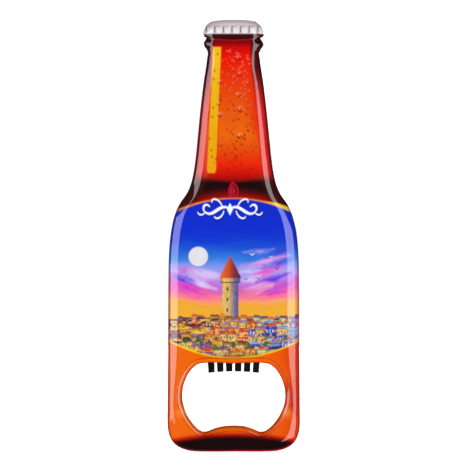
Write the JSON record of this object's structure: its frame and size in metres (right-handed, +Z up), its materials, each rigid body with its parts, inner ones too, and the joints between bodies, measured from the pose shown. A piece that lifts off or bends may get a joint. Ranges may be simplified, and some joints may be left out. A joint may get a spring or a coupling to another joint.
{
  "type": "bottle opener",
  "caption": "Flat bottle-shaped souvenir cap opener with a printed tin front, a steel lip in a round-cornered opening, and disc magnets in its back.",
  "frame": {"origin": "centre of the back face, halfway up the height and on the centre line", "axes": "+Z up the bottle to its cap, +Y out of the flat back, -Y out of the printed front, +X to the right seen from the front"},
  "size_m": [0.043, 0.006, 0.14],
  "materials": {
    "printed_tin": "litho printed tinplate under gloss lacquer",
    "foam_tape": "double-sided foam tape",
    "core_plastic": "moulded black plastic",
    "opener_steel": "stamped steel, bright on the ribs",
    "rivet_steel": "zinc-plated steel",
    "film_tape": "adhesive film",
    "cover_plastic": "fine-textured black sheet",
    "ferrite": "ground ferrite",
    "glue": "cured glue"
  },
  "bodies": {
    "root": {"front_shell": "printed_tin", "front_tape": "foam_tape", "core_frame": "core_plastic", "opener_plate": "opener_steel", "plate_rivets": "rivet_steel", "back_tape": "film_tape", "back_cover": "cover_plastic", "upper_magnet": "ferrite", "lower_magnet": "ferrite", "magnet_glue": "glue"}
  },
  "joints": []
}
